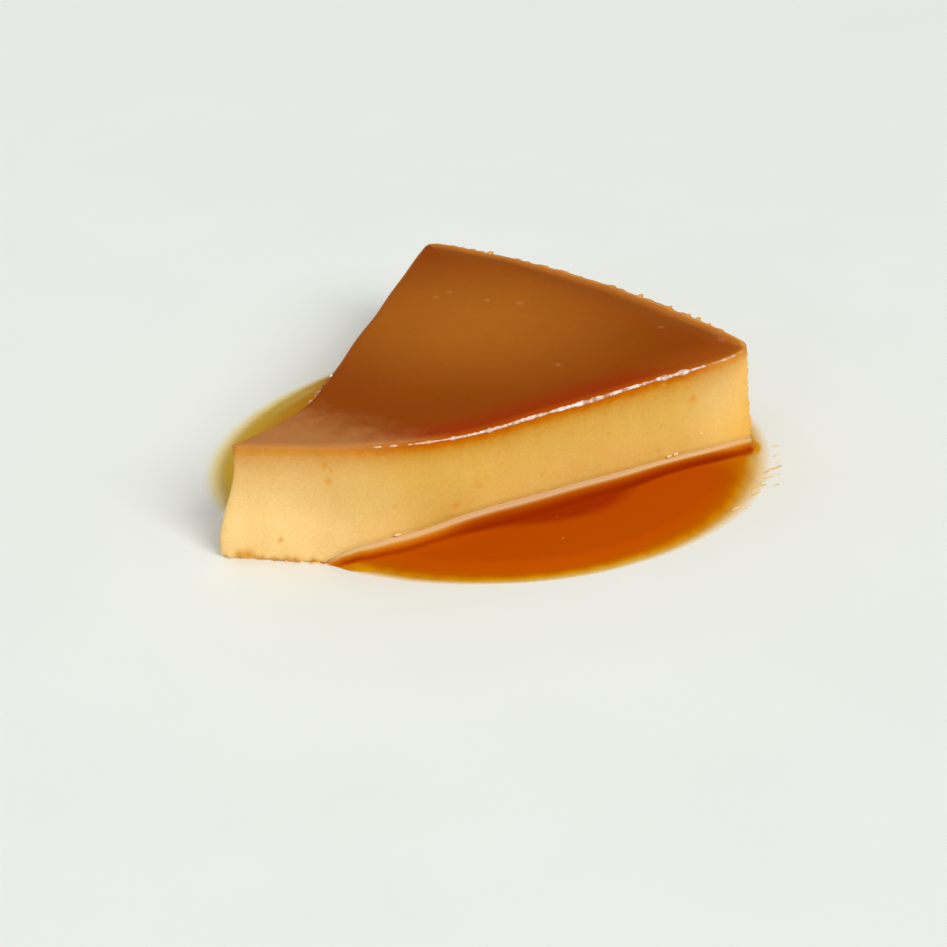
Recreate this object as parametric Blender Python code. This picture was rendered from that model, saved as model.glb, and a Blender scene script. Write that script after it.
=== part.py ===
"""A slice of flan napolitano, standing in its pool of caramel syrup.

Metres, +Z up. +X runs along the slice, from its tip to the side that baked against the pan's wall.
The origin is on the ground, under the middle of the whole.
"""
import math

import bpy
import numpy as np

# Heights in the slice: baked custard below, and the layer that the caramel soaked on top of it
SLICE_HEIGHT = 0.025
CARAMEL_THICKNESS = 0.0022
CONTACT_GAP = 0.0003

# The two knife cuts, seen from above: they open about +X from one point, and end at the pan's side.
# The round at that side's top is a tenth of its size at the front corner, and grows along the side.
CUT_APEX = np.array([-0.0828, -0.0015])
CUT_HALF_ANGLE = math.radians(21.3)
FRONT_CUT_LENGTH = 0.1325
REAR_CUT_LENGTH = 0.1497
PAN_SIDE_RADIUS = 0.173
PAN_RIM_RADIUS = 0.003
RIM_AT_FRONT = 0.1
RIM_GROWS_OVER = 0.3

# The soft tip swerved towards +Y when the slice was set down, and its foot has spread. Distances to
# the bends are from the apex along each cut, and each reach is how far from a corner its round starts.
TIP_TOP, TIP_TOP_REACH = np.array([-0.0627, 0.0178]), 0.0026
TIP_FOOT, TIP_FOOT_REACH = np.array([-0.0670, 0.0197]), 0.0038
FRONT_BEND_TOP, FRONT_BEND_TOP_REACH = 0.0450, 0.0202
FRONT_BEND_FOOT, FRONT_BEND_FOOT_REACH = 0.0345, 0.0120
REAR_BEND_TOP, REAR_BEND_TOP_REACH = 0.0434, 0.0141
REAR_BEND_FOOT, REAR_BEND_FOOT_REACH = 0.0412, 0.0100
FRONT_CORNER_TOP_REACH, FRONT_CORNER_FOOT_REACH = 0.0135, 0.0050
FRONT_SIDE_TOP_REACH, FRONT_SIDE_FOOT_REACH = 0.0065, 0.0044
REAR_CORNER_REACH = 0.0042
SPREAD_STARTS_AT = 0.0210
SPREAD_ENDS_AT = 0.0035

# Edges of the soft body, and slow waves in its sides, in radians for each metre across and up
FOOT_ROUNDING = 0.0008
TOP_EDGE_FALL = 0.0004
TOP_EDGE_WIDTH = 0.0011
WAVE_HEIGHT = 0.0001
WAVES_ALONG_X, CLIMBING_X = 260.0, 90.0
WAVES_ALONG_Y, CLIMBING_Y = 410.0, -160.0

# The syrup: a round pool with the slice cut out of it. It is drawn out round the slice's two outer
# corners (bearing, distance, spread), and a few slow waves (count, height, phase) run along its shore.
POOL_CENTRE = np.array([0.0055, 0.0])
POOL_RADIUS = 0.0608
POOL_LEVEL = 0.0026
SHORE_WAVES = ((2, 0.00055, 0.33), (3, 0.00034, -1.08), (4, 0.00087, 2.55))
SHORE_CLINGS = (
    (math.radians(46.0), 0.0165, math.radians(9.0)),
    (math.radians(-55.0), 0.0008, math.radians(9.0)),
)
SHORE_THICKNESS = 0.0003
SHORE_WIDTH = 0.0055
CLIMB_HEIGHT = 0.0022
CLIMB_REACH = 0.0014
END_WIDTH = 0.0012

# How finely the curves are divided
CORNER_STEPS = 6
BEND_STEPS = 10
CUT_STEPS = 20
PAN_SIDE_STEPS = 20
SPREAD_STEPS = 6
RIM_STEPS = 3
POOL_ROWS = 7
SHORE_SAMPLES = 721
LEAST_TURN = math.radians(0.1)
CREASE_ANGLE = math.radians(35.0)

# Finishes: colour and roughness
CUSTARD_FINISH = ((0.79, 0.46, 0.11), 0.45)
CARAMEL_FINISH = ((0.37, 0.11, 0.01), 0.25)
SYRUP_FINISH = ((0.49, 0.075, 0.002), 0.08)


def smooth_step(value):
    """0 below 0, 1 above 1, and a smooth rise between."""
    clipped = np.clip(value, 0.0, 1.0)
    return clipped * clipped * (3.0 - 2.0 * clipped)


def heading(angle):
    """The unit vector at an angle from +X."""
    return np.array([math.cos(angle), math.sin(angle)])


def rounded_corner(before, corner, after, reach_before, reach_after, steps):
    """A parabola that leaves one side at a reach from the corner and joins the other side likewise."""
    start = corner + (before - corner) / np.linalg.norm(before - corner) * reach_before
    end = corner + (after - corner) / np.linalg.norm(after - corner) * reach_after
    t = np.linspace(0.0, 1.0, steps + 1)[:, None]
    return (1 - t) ** 2 * start + 2 * t * (1 - t) * corner + t ** 2 * end


def straight_run(start, end, steps):
    """Points between two ends, without the ends themselves."""
    t = np.linspace(0.0, 1.0, steps + 1)[1:-1, None]
    return start + (end - start) * t


def arc(start, end, radius, steps):
    """The arc from start to end that bulges away from the slice, ends included."""
    half_chord = np.linalg.norm(end - start) / 2
    inward = np.array([start[1] - end[1], end[0] - start[0]]) / (2 * half_chord)
    centre = (start + end) / 2 + inward * math.sqrt(radius ** 2 - half_chord ** 2)
    first = math.atan2(start[1] - centre[1], start[0] - centre[0])
    last = math.atan2(end[1] - centre[1], end[0] - centre[0])
    angles = np.linspace(first, last, steps + 1)
    return centre + radius * np.stack([np.cos(angles), np.sin(angles)], axis=1)


def pan_side(rim_inset):
    """The side that baked against the pan's wall. The rim's round, there from the pan's floor, fades out
    towards the front corner, and it is cut back along lines that lead to the apex."""
    front_corner = CUT_APEX + heading(-CUT_HALF_ANGLE) * FRONT_CUT_LENGTH
    rear_corner = CUT_APEX + heading(CUT_HALF_ANGLE) * REAR_CUT_LENGTH
    side = arc(front_corner, rear_corner, PAN_SIDE_RADIUS, PAN_SIDE_STEPS)
    share = np.linspace(0.0, 1.0, PAN_SIDE_STEPS + 1)[:, None]
    rim = RIM_AT_FRONT + (1.0 - RIM_AT_FRONT) * smooth_step(share / RIM_GROWS_OVER)
    from_apex = side - CUT_APEX
    return side - from_apex / np.linalg.norm(from_apex, axis=1, keepdims=True) * rim * rim_inset


def outward_normals(outline):
    """Unit normals of a closed anticlockwise outline, one for each point."""
    along = np.roll(outline, -1, axis=0) - np.roll(outline, 1, axis=0)
    normals = np.stack([along[:, 1], -along[:, 0]], axis=1)
    return normals / np.linalg.norm(normals, axis=1, keepdims=True)


def slice_outline(height, inset=0.0):
    """The slice's outline at a height, anticlockwise from the tip, as the same points at every height."""
    spread = 1.0 - smooth_step((height - SPREAD_ENDS_AT) / (SPREAD_STARTS_AT - SPREAD_ENDS_AT))

    def at_height(top, foot):
        return top + (foot - top) * spread

    above_rim_start = max(0.0, height - (SLICE_HEIGHT - PAN_RIM_RADIUS))
    rim_inset = PAN_RIM_RADIUS - math.sqrt(PAN_RIM_RADIUS ** 2 - above_rim_start ** 2)
    front, rear = heading(-CUT_HALF_ANGLE), heading(CUT_HALF_ANGLE)
    tip = at_height(TIP_TOP, TIP_FOOT)
    front_bend = CUT_APEX + front * at_height(FRONT_BEND_TOP, FRONT_BEND_FOOT)
    rear_bend = CUT_APEX + rear * at_height(REAR_BEND_TOP, REAR_BEND_FOOT)
    side = pan_side(rim_inset)
    front_corner, rear_corner = side[0], side[-1]

    tip_reach = at_height(TIP_TOP_REACH, TIP_FOOT_REACH)
    front_reach = at_height(FRONT_BEND_TOP_REACH, FRONT_BEND_FOOT_REACH)
    corner_reach = at_height(FRONT_CORNER_TOP_REACH, FRONT_CORNER_FOOT_REACH)
    side_reach = at_height(FRONT_SIDE_TOP_REACH, FRONT_SIDE_FOOT_REACH)
    rear_reach = at_height(REAR_BEND_TOP_REACH, REAR_BEND_FOOT_REACH)
    round_tip = rounded_corner(rear_bend, tip, front_bend, tip_reach, tip_reach, CORNER_STEPS)
    round_front = rounded_corner(tip, front_bend, front_corner, front_reach, front_reach, BEND_STEPS)
    round_front_corner = rounded_corner(
        front_bend, front_corner, side[2], corner_reach, side_reach, CORNER_STEPS)
    round_rear_corner = rounded_corner(
        side[-2], rear_corner, rear_bend, REAR_CORNER_REACH, REAR_CORNER_REACH, CORNER_STEPS)
    round_rear = rounded_corner(rear_corner, rear_bend, tip, rear_reach, rear_reach, BEND_STEPS)
    outline = np.vstack([
        round_tip,
        straight_run(round_tip[-1], round_front[0], BEND_STEPS // 2),
        round_front,
        straight_run(round_front[-1], round_front_corner[0], CUT_STEPS),
        round_front_corner,
        side[2:-1],
        round_rear_corner,
        straight_run(round_rear_corner[-1], round_rear[0], CUT_STEPS),
        round_rear,
        straight_run(round_rear[-1], round_tip[0], BEND_STEPS // 2),
    ])
    foot_inset = FOOT_ROUNDING * max(0.0, 1.0 - height / (2 * FOOT_ROUNDING)) ** 2
    wander = np.sin(WAVES_ALONG_X * outline[:, :1] + CLIMBING_X * height)
    wander = wander + np.sin(WAVES_ALONG_Y * outline[:, 1:] + CLIMBING_Y * height)
    return outline + outward_normals(outline) * (WAVE_HEIGHT * wander - foot_inset - inset)


def add_object(name, vertices, faces, finish):
    """One closed, smooth-shaded mesh object with a material of its own."""
    color, roughness = finish
    mesh = bpy.data.meshes.new(name)
    mesh.from_pydata(np.asarray(vertices).tolist(), [], faces)
    mesh.validate()
    mesh.shade_smooth()
    mesh.set_sharp_from_angle(angle=CREASE_ANGLE)
    material = bpy.data.materials.new(name)
    material.use_nodes = True
    shader = material.node_tree.nodes["Principled BSDF"]
    shader.inputs["Base Color"].default_value = (*color, 1.0)
    shader.inputs["Roughness"].default_value = roughness
    shader.inputs["Metallic"].default_value = 0.0
    mesh.materials.append(material)
    placed = bpy.data.objects.new(name, mesh)
    bpy.context.scene.collection.objects.link(placed)
    return placed


def stacked_rings(rings):
    """Vertices and faces of a solid whose rings of points go up one above another, capped at both ends."""
    count = len(rings[0][0])
    vertices = np.vstack([np.column_stack([points, np.full(count, height)]) for points, height in rings])
    faces = [list(range(count))[::-1]]
    for level in range(len(rings) - 1):
        low, high = level * count, (level + 1) * count
        for i in range(count):
            j = (i + 1) % count
            faces.append([low + i, low + j, high + j, high + i])
    faces.append(list(range((len(rings) - 1) * count, len(rings) * count)))
    return vertices, faces


def custard():
    """The baked custard, from the ground to just under the caramel layer."""
    top = SLICE_HEIGHT - CARAMEL_THICKNESS - CONTACT_GAP
    rounded_foot = [0.0, 0.75 * FOOT_ROUNDING, 2 * FOOT_ROUNDING]
    spread_wall = list(np.linspace(SPREAD_ENDS_AT, SPREAD_STARTS_AT, SPREAD_STEPS + 1))
    heights = rounded_foot + spread_wall + [top]
    vertices, faces = stacked_rings([(slice_outline(height), height) for height in heights])
    return add_object("custard", vertices, faces, CUSTARD_FINISH)


def caramel_layer():
    """The layer that the caramel soaked, over the whole top, with soft edges and the pan's round rim."""
    bottom = SLICE_HEIGHT - CARAMEL_THICKNESS
    edge = SLICE_HEIGHT - TOP_EDGE_FALL
    rings = [(slice_outline(height), height) for height in np.linspace(bottom, edge, RIM_STEPS + 1)]
    for share in (0.5, 1.0):
        height = edge + TOP_EDGE_FALL * math.sqrt(share)
        rings.append((slice_outline(height, inset=TOP_EDGE_WIDTH * share), height))
    vertices, faces = stacked_rings(rings)
    return add_object("caramel_layer", vertices, faces, CARAMEL_FINISH)


def distance_to_path(points, path):
    """The shortest distance from each point to a path of straight steps."""
    start, step = path[:-1], path[1:] - path[:-1]
    from_start = points[:, None, :] - start[None]
    share = np.clip((from_start * step).sum(axis=2) / (step ** 2).sum(axis=1), 0.0, 1.0)
    return np.linalg.norm(from_start - share[:, :, None] * step, axis=2).min(axis=1)


def shore_radius(bearing):
    """How far the shore lies from the pool's centre: a circle with slow waves, drawn out at two corners."""
    radius = np.full(np.shape(bearing), POOL_RADIUS)
    for count, height, phase in SHORE_WAVES:
        radius = radius + height * np.cos(count * bearing + phase)
    for corner_bearing, distance, spread in SHORE_CLINGS:
        turn = np.angle(np.exp(1j * (bearing - corner_bearing)))
        radius = radius + distance * np.exp(-0.5 * (turn / spread) ** 2)
    return radius


def syrup():
    """The pool: level syrup that climbs the slice's foot a little and thins out to a low round shore."""
    foot = slice_outline(SPREAD_ENDS_AT, inset=-CONTACT_GAP)
    from_centre = foot - POOL_CENTRE
    foot_bearing = np.unwrap(np.arctan2(from_centre[:, 1], from_centre[:, 0]))
    foot_radius = np.linalg.norm(from_centre, axis=1)
    turning = np.gradient(foot_bearing) > LEAST_TURN
    wet = turning & (shore_radius(foot_bearing) - foot_radius > END_WIDTH)
    bearing, inner = foot_bearing[wet], foot_radius[wet]
    outer = shore_radius(bearing)
    share = np.linspace(0.0, 1.0, POOL_ROWS + 1)
    across = (share + (1.0 - np.cos(math.pi * share)) / 2) / 2
    radius = inner[:, None] + (outer - inner)[:, None] * across[None, :]
    plan = POOL_CENTRE + radius[:, :, None] * np.stack([np.cos(bearing), np.sin(bearing)], axis=1)[:, None, :]
    plan = plan.reshape(-1, 2)

    every_bearing = np.linspace(-math.pi, math.pi, SHORE_SAMPLES)
    every_shore = POOL_CENTRE + shore_radius(every_bearing)[:, None] * np.stack(
        [np.cos(every_bearing), np.sin(every_bearing)], axis=1)
    from_shore = distance_to_path(plan, every_shore)
    from_foot = distance_to_path(plan, np.vstack([foot, foot[:1]]))
    swell = np.sqrt(1.0 - (1.0 - np.clip(from_shore / SHORE_WIDTH, 0.0, 1.0)) ** 2)
    climb = CLIMB_HEIGHT * np.exp(-from_foot / CLIMB_REACH) * swell
    surface = SHORE_THICKNESS + (POOL_LEVEL - SHORE_THICKNESS) * swell + climb

    rows, columns = POOL_ROWS + 1, len(bearing)
    under = columns * rows
    vertices = np.vstack([np.column_stack([plan, surface]), np.column_stack([plan, np.zeros(under)])])
    faces = []
    for i in range(columns - 1):
        for j in range(POOL_ROWS):
            corner = i * rows + j
            quad = [corner, corner + 1, corner + rows + 1, corner + rows]
            faces.append(quad)
            faces.append([under + k for k in reversed(quad)])
    foot_side = list(range(0, under, rows))
    far_end = list(range(under - rows + 1, under))
    shore_side = list(range(under - rows - 1, 0, -rows))
    near_end = list(range(rows - 2, 0, -1))
    border = foot_side + far_end + shore_side + near_end
    for i, k in zip(border, border[1:] + border[:1]):
        faces.append([i, k, under + k, under + i])
    return add_object("syrup", vertices, faces, SYRUP_FINISH)


for leftover in list(bpy.data.objects):
    bpy.data.objects.remove(leftover, do_unlink=True)
custard()
caramel_layer()
syrup()
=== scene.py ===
"""The looks of a slice of flan napolitano that stands in its pool of caramel syrup.

Metres, +Z up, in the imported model's own frame: the origin is on the ground, under the middle of the whole,
and +X runs along the slice from its tip to the side that baked against the pan.
"""
import math

import bpy
import numpy as np
from mathutils import Matrix, Vector


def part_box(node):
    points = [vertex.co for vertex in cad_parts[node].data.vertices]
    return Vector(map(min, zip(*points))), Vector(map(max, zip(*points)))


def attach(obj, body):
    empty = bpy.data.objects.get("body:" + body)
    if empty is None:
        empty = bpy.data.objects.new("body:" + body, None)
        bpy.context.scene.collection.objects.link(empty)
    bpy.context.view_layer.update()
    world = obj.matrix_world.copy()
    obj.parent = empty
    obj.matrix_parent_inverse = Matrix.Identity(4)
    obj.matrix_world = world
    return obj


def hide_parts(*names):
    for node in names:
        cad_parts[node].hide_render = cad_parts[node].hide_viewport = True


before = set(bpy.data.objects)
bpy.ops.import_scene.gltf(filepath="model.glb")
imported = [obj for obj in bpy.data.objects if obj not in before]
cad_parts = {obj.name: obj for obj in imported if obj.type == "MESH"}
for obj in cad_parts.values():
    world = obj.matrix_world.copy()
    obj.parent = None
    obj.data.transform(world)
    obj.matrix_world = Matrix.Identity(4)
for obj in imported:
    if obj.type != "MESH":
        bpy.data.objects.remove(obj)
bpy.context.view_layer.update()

# The custard: eggs, milk, condensed milk and soft cheese, blended and baked in a water bath to one dense,
# moist body. Two of its sides are smooth knife cuts, with a few bubbles that the knife opened. The third
# is the pebbled skin that lay against the pan. Its foot is a little crumbly where the tip was set down.
SLICE_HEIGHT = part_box("caramel_layer")[1].z
LAYER_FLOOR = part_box("caramel_layer")[0].z

CUT_APEX = np.array([-0.0828, -0.0015])
CUT_HALF_ANGLE = math.radians(21.3)
FRONT_CUT_LENGTH = 0.1325
REAR_CUT_LENGTH = 0.1497
PAN_SIDE_RADIUS = 0.173
PAN_RIM_RADIUS = 0.003
RIM_AT_FRONT = 0.1
RIM_GROWS_OVER = 0.3

# The corners at the top and at the foot: the tip's place, the bends' ways from the apex along the cuts, and
# how far each corner's round reaches along its sides
TIP, TIP_REACH = ((-0.0627, 0.0178), (-0.067, 0.0197)), (0.0026, 0.0038)
FRONT_BEND, FRONT_BEND_REACH = (0.045, 0.0345), (0.0202, 0.012)
REAR_BEND, REAR_BEND_REACH = (0.0434, 0.0412), (0.0141, 0.01)
FRONT_CORNER_REACH, FRONT_SIDE_REACH = (0.0135, 0.005), (0.0065, 0.0044)
REAR_CORNER_REACH = 0.0042
TIP_INSET_LOSS, TIP_INSET_REACH = 0.75, 0.003
SPREAD_STARTS_AT = 0.021
SPREAD_ENDS_AT = 0.0035

FOOT_ROUNDING = 0.0008
WAVE_HEIGHT = 0.0001
WAVES_ALONG_X, CLIMBING_X = 260.0, 90.0
WAVES_ALONG_Y, CLIMBING_Y = 410.0, -160.0

TIP_STEPS = 20
FRONT_TIP_STEPS = 50
FRONT_BEND_STEPS = 110
FRONT_CUT_STEPS = 200
CORNER_STEPS = 24
SIDE_STEPS_TO_CORNER = 13
PAN_SIDE_STEPS = 20 * SIDE_STEPS_TO_CORNER
REAR_CUT_STEPS = 180
REAR_BEND_STEPS = 50
REAR_TIP_STEPS = 10
FRONT_COLUMNS = TIP_STEPS + FRONT_TIP_STEPS + FRONT_BEND_STEPS + FRONT_CUT_STEPS + CORNER_STEPS + 1
REAR_COLUMNS = CORNER_STEPS + REAR_CUT_STEPS + REAR_BEND_STEPS + REAR_TIP_STEPS
WALL_ROWS = 64

GRAIN_HEIGHT, GRAIN_SIZE = 0.000015, 0.0011
PEBBLE_HEIGHT, PEBBLE_SIZE = 0.00034, 0.0023
CRUMBLE_HEIGHT, CRUMBLE_SIZE = 0.00028, 0.0016
CRUMBLE_RISES_TO = 0.0022
CRUMBLE_FROM_X, CRUMBLE_GROWS_OVER = -0.044, 0.012
PEBBLES_BELOW_TOP, PEBBLES_GROW_OVER = 0.0008, 0.004
PEBBLE_LIMIT = 1.3
PORE_DEPTH, PORE_TONE_REACH = 0.3, 1.3
BUMP_HEIGHT = 0.0002

# Bubbles that the knife opened in the front cut: place along X, height and radius
FRONT_PORES = (
    (0.0233, 0.0173, 0.00085), (0.0219, 0.0211, 0.00045), (0.016, 0.023, 0.0004),
    (-0.0522, 0.0206, 0.0006), (-0.0523, 0.0173, 0.00055), (-0.0346, 0.0095, 0.0006),
    (-0.0606, 0.0052, 0.0004), (-0.029, 0.0125, 0.00035), (0.002, 0.0155, 0.0003),
)
OTHER_PORES = 44

# Syrup stains on the tip's foot, in the same way
FOOT_STAINS = (
    (-0.0645, 0.0012, 0.001), (-0.0636, 0.0012, 0.0015), (-0.062, 0.0003, 0.001), (-0.0607, 0.0003, 0.001),
    (-0.0598, 0.0005, 0.0012), (-0.0588, 0.0006, 0.001), (-0.0573, 0.0006, 0.0009),
)
# By place along X, how high the syrup's lip stands on the front cut and how far below that its darkest line
# lies, a painted line of shade. Elsewhere the syrup climbs the foot from the pool's level.
LIP_HEIGHTS = np.array((
    (-0.059, -0.001), (-0.0575, -0.0006), (-0.0563, 0.0008), (-0.0546, 0.0032), (-0.0527, 0.0047),
    (-0.0486, 0.006), (-0.0413, 0.0066), (-0.0341, 0.007), (-0.0269, 0.0071), (-0.0196, 0.0067),
    (-0.0124, 0.0063), (-0.0052, 0.006), (0.002, 0.0057), (0.0093, 0.0054), (0.0165, 0.0051),
    (0.0237, 0.0047), (0.031, 0.0043), (0.0358, 0.004), (0.0394, 0.0031), (0.0408, 0.0026), (0.0418, 0.0014),
    (0.0428, 0.0),
))
PAINTED_SHADE_LINE = np.array((
    (-0.056, 0.003), (-0.052, 0.004), (-0.0486, 0.0044), (-0.042, 0.0042), (-0.036, 0.0044),
    (-0.0269, 0.0048), (-0.0124, 0.0048), (0.006, 0.0043), (0.013, 0.0038), (0.021, 0.0037),
    (0.028, 0.004), (0.033, 0.0044), (0.037, 0.0041), (0.0403, 0.0033), (0.043, 0.0026),
))
POOL_LEVEL = 0.0026
CLIMB_HEIGHT = 0.0022
CLIMB_FROM_X, CLIMB_GROWS_OVER_X = -0.046, 0.01
CLIMB_FROM_Y, CLIMB_GROWS_OVER_Y = -0.048, 0.014
HIGHEST_LIP = 0.008
# A painted line of shade on the custard just above the syrup's lip: how far above the lip it lies and how wide it
# is
SHADE_BAND_OVER_LIP, SHADE_BAND_WIDTH = 0.0004, 0.0005
WETTING = 0.0002
# How much lower a step out from the foot looks in the front view, as a share of the step
VIEWED_FALL = 0.57


def smooth_step(value):
    """0 below 0, 1 above 1, and a smooth rise between."""
    clipped = np.clip(value, 0.0, 1.0)
    return clipped * clipped * (3.0 - 2.0 * clipped)


def heading(angles):
    """The unit vector at each angle from +X."""
    return np.stack([np.cos(angles), np.sin(angles)], axis=-1)


def unit(vectors):
    """Vectors brought to length 1."""
    return vectors / np.linalg.norm(vectors, axis=-1, keepdims=True)


def toward(start, end, reach):
    """The point at a reach from start on the way to end, for each row."""
    return start + unit(end - start) * reach


def rounded_corner(before, corner, after, reach_before, reach_after, steps):
    """For each row, a parabola between the two reaches: (1-t)^2 start + 2t(1-t) corner + t^2 end."""
    start, end = toward(corner, before, reach_before), toward(corner, after, reach_after)
    t = np.linspace(0.0, 1.0, steps + 1)[:, None]
    return (1 - t) ** 2 * start[:, None] + 2 * t * (1 - t) * corner[:, None] + t ** 2 * end[:, None]


def straight_run(start, end, steps):
    """For each row, points between two ends: start + t (end - start), without the ends themselves."""
    t = np.linspace(0.0, 1.0, steps + 1)[1:-1, None]
    return start[:, None] + (end - start)[:, None] * t


def pan_side(rim_inset):
    """For each row, the arc that lay against the pan, moved towards the apex by the rim's inset at that
    height. The rim's round is slight at the front corner and grows along the side by a smooth step."""
    start = CUT_APEX + heading(-CUT_HALF_ANGLE) * FRONT_CUT_LENGTH
    end = CUT_APEX + heading(CUT_HALF_ANGLE) * REAR_CUT_LENGTH
    half_chord = np.linalg.norm(end - start) / 2
    inward = np.array([start[1] - end[1], end[0] - start[0]]) / (2 * half_chord)
    centre = (start + end) / 2 + inward * math.sqrt(PAN_SIDE_RADIUS ** 2 - half_chord ** 2)
    first, last = (math.atan2(*(point - centre)[::-1]) for point in (start, end))
    angles = np.linspace(first, last, PAN_SIDE_STEPS + 1)
    side = centre + PAN_SIDE_RADIUS * heading(angles)
    share = np.linspace(0.0, 1.0, PAN_SIDE_STEPS + 1)[:, None]
    rim = RIM_AT_FRONT + (1.0 - RIM_AT_FRONT) * smooth_step(share / RIM_GROWS_OVER)
    return side[None] - (unit(side - CUT_APEX) * rim)[None] * rim_inset[:, None, None]


def outward_normals(outline):
    """Unit normals of closed anticlockwise outlines: the way along the outline, turned by a right angle."""
    along = np.roll(outline, -1, axis=-2) - np.roll(outline, 1, axis=-2)
    return unit(np.stack([along[..., 1], -along[..., 0]], axis=-1))


def slice_outline(heights, inset=0.0):
    """The slice's outline at each height, as rows of plan points, anticlockwise from the tip.

    Each corner lies between its places at the top and at the foot, by how far the body has spread at that
    height. The outline runs through the rounded corners, straight runs and the pan's arc, and is then
    moved along its normals by slow sine waves, the foot's rounding and the inset. The inset is less at the
    tip, whose round is tighter than the inset is wide.
    """
    heights = np.asarray(heights, float)
    spread = 1.0 - smooth_step((heights - SPREAD_ENDS_AT) / (SPREAD_STARTS_AT - SPREAD_ENDS_AT))

    def at_height(ends):
        top, foot = np.array(ends)
        return top + (foot - top) * spread[:, None]

    above_rim_start = np.clip(heights - (SLICE_HEIGHT - PAN_RIM_RADIUS), 0.0, PAN_RIM_RADIUS)
    rim_inset = PAN_RIM_RADIUS - np.sqrt(PAN_RIM_RADIUS ** 2 - above_rim_start ** 2)
    side = pan_side(rim_inset)
    tip = at_height(TIP)
    front_bend = CUT_APEX + heading(-CUT_HALF_ANGLE) * at_height(FRONT_BEND)
    rear_bend = CUT_APEX + heading(CUT_HALF_ANGLE) * at_height(REAR_BEND)
    tip_reach, front_reach, rear_reach = map(at_height, (TIP_REACH, FRONT_BEND_REACH, REAR_BEND_REACH))
    round_tip = rounded_corner(rear_bend, tip, front_bend, tip_reach, tip_reach, TIP_STEPS)
    round_front = rounded_corner(tip, front_bend, side[:, 0], front_reach, front_reach, FRONT_BEND_STEPS)
    round_front_corner = rounded_corner(
        front_bend, side[:, 0], side[:, 2 * SIDE_STEPS_TO_CORNER],
        at_height(FRONT_CORNER_REACH), at_height(FRONT_SIDE_REACH), CORNER_STEPS)
    round_rear_corner = rounded_corner(
        side[:, -1 - SIDE_STEPS_TO_CORNER], side[:, -1], rear_bend,
        REAR_CORNER_REACH, REAR_CORNER_REACH, CORNER_STEPS)
    round_rear = rounded_corner(side[:, -1], rear_bend, tip, rear_reach, rear_reach, REAR_BEND_STEPS)
    outline = np.concatenate([
        round_tip,
        straight_run(round_tip[:, -1], round_front[:, 0], FRONT_TIP_STEPS),
        round_front,
        straight_run(round_front[:, -1], round_front_corner[:, 0], FRONT_CUT_STEPS),
        round_front_corner,
        side[:, 2 * SIDE_STEPS_TO_CORNER:-SIDE_STEPS_TO_CORNER],
        round_rear_corner,
        straight_run(round_rear_corner[:, -1], round_rear[:, 0], REAR_CUT_STEPS),
        round_rear,
        straight_run(round_rear[:, -1], round_tip[:, 0], REAR_TIP_STEPS),
    ], axis=1)
    above_foot = heights[:, None, None]
    foot_inset = FOOT_ROUNDING * np.clip(1.0 - above_foot / (2 * FOOT_ROUNDING), 0.0, None) ** 2
    wander = np.sin(WAVES_ALONG_X * outline[..., :1] + CLIMBING_X * above_foot)
    wander = wander + np.sin(WAVES_ALONG_Y * outline[..., 1:] + CLIMBING_Y * above_foot)
    from_tip = np.linalg.norm(outline - tip[:, None], axis=-1, keepdims=True)
    share_kept = 1.0 - TIP_INSET_LOSS * np.exp(-(from_tip / TIP_INSET_REACH) ** 2)
    inset = np.asarray(inset, float).reshape(-1, 1, 1) * share_kept
    return outline + outward_normals(outline) * (WAVE_HEIGHT * wander - foot_inset - inset)


def unevenness(points, size, seed, waves=36):
    """Aimless soft bumps, about -1 to 1: the sum of sine waves near one length in seeded directions."""
    chance = np.random.default_rng(seed)
    directions = unit(chance.normal(size=(waves, 3)))
    lengths = size * chance.uniform(0.7, 1.5, (waves, 1))
    phases = chance.uniform(0.0, 2 * math.pi, waves)
    return np.sin(points @ (directions / lengths * 2 * math.pi).T + phases).sum(axis=-1) / math.sqrt(waves)


def near_any(points, places, radii):
    """The sum over places of exp(-(distance / radius)^2): 1 in the middle of a place, 0 away from it."""
    total = np.zeros(points.shape[:-1])
    for place, radius in zip(places, radii):
        total = total + np.exp(-(((points - place) / radius) ** 2).sum(axis=-1))
    return total


def closed_bodies(name, stacks, **values):
    """One mesh of closed bodies. Each is a stack of anticlockwise rings that run up, joined by quads, with one
    face over the first and the last. Values are kept as one attribute a point."""
    grid = np.arange(stacks[..., 0].size).reshape(stacks.shape[:3])
    beside = np.roll(grid, -1, axis=2)
    quads = np.stack([grid[:, :-1], beside[:, :-1], beside[:, 1:], grid[:, 1:]], axis=-1).reshape(-1, 4)
    faces = quads.tolist() + grid[:, 0, ::-1].tolist() + grid[:, -1].tolist()
    return shaded_mesh(name, stacks.reshape(-1, 3), faces, values)


def placed(name, data):
    """An object at the origin, put into the scene."""
    body = bpy.data.objects.new(name, data)
    bpy.context.scene.collection.objects.link(body)
    return body


def shaded_mesh(name, points, faces, values):
    """A mesh object whose faces shade smoothly, apart from edges sharper than 60 degrees."""
    mesh = bpy.data.meshes.new(name)
    mesh.from_pydata(points.tolist(), [], faces)
    mesh.shade_smooth()
    mesh.set_sharp_from_angle(angle=math.radians(60.0))
    for label, numbers in values.items():
        held = mesh.attributes.new(label, "FLOAT", "POINT")
        held.data.foreach_set("value", np.asarray(numbers, np.float32).ravel())
    return placed(name, mesh)


def with_normals(plan, heights):
    """Plan rows as points in space, and their level outward normals."""
    points = np.dstack([plan, np.broadcast_to(np.asarray(heights)[:, None], plan.shape[:2])])
    return points, np.dstack([outward_normals(plan), np.zeros(plan.shape[:2])])


def faces_pan(normals):
    """1 where a side faces the pan, 0 on the cuts."""
    return smooth_step((normals[..., 0] - 0.15) / 0.4)


def faces_front(normals):
    """1 on the front cut, 0 on the rear cut and the pan's side."""
    return smooth_step((-normals[..., 1] - 0.1) / 0.4)


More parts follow.
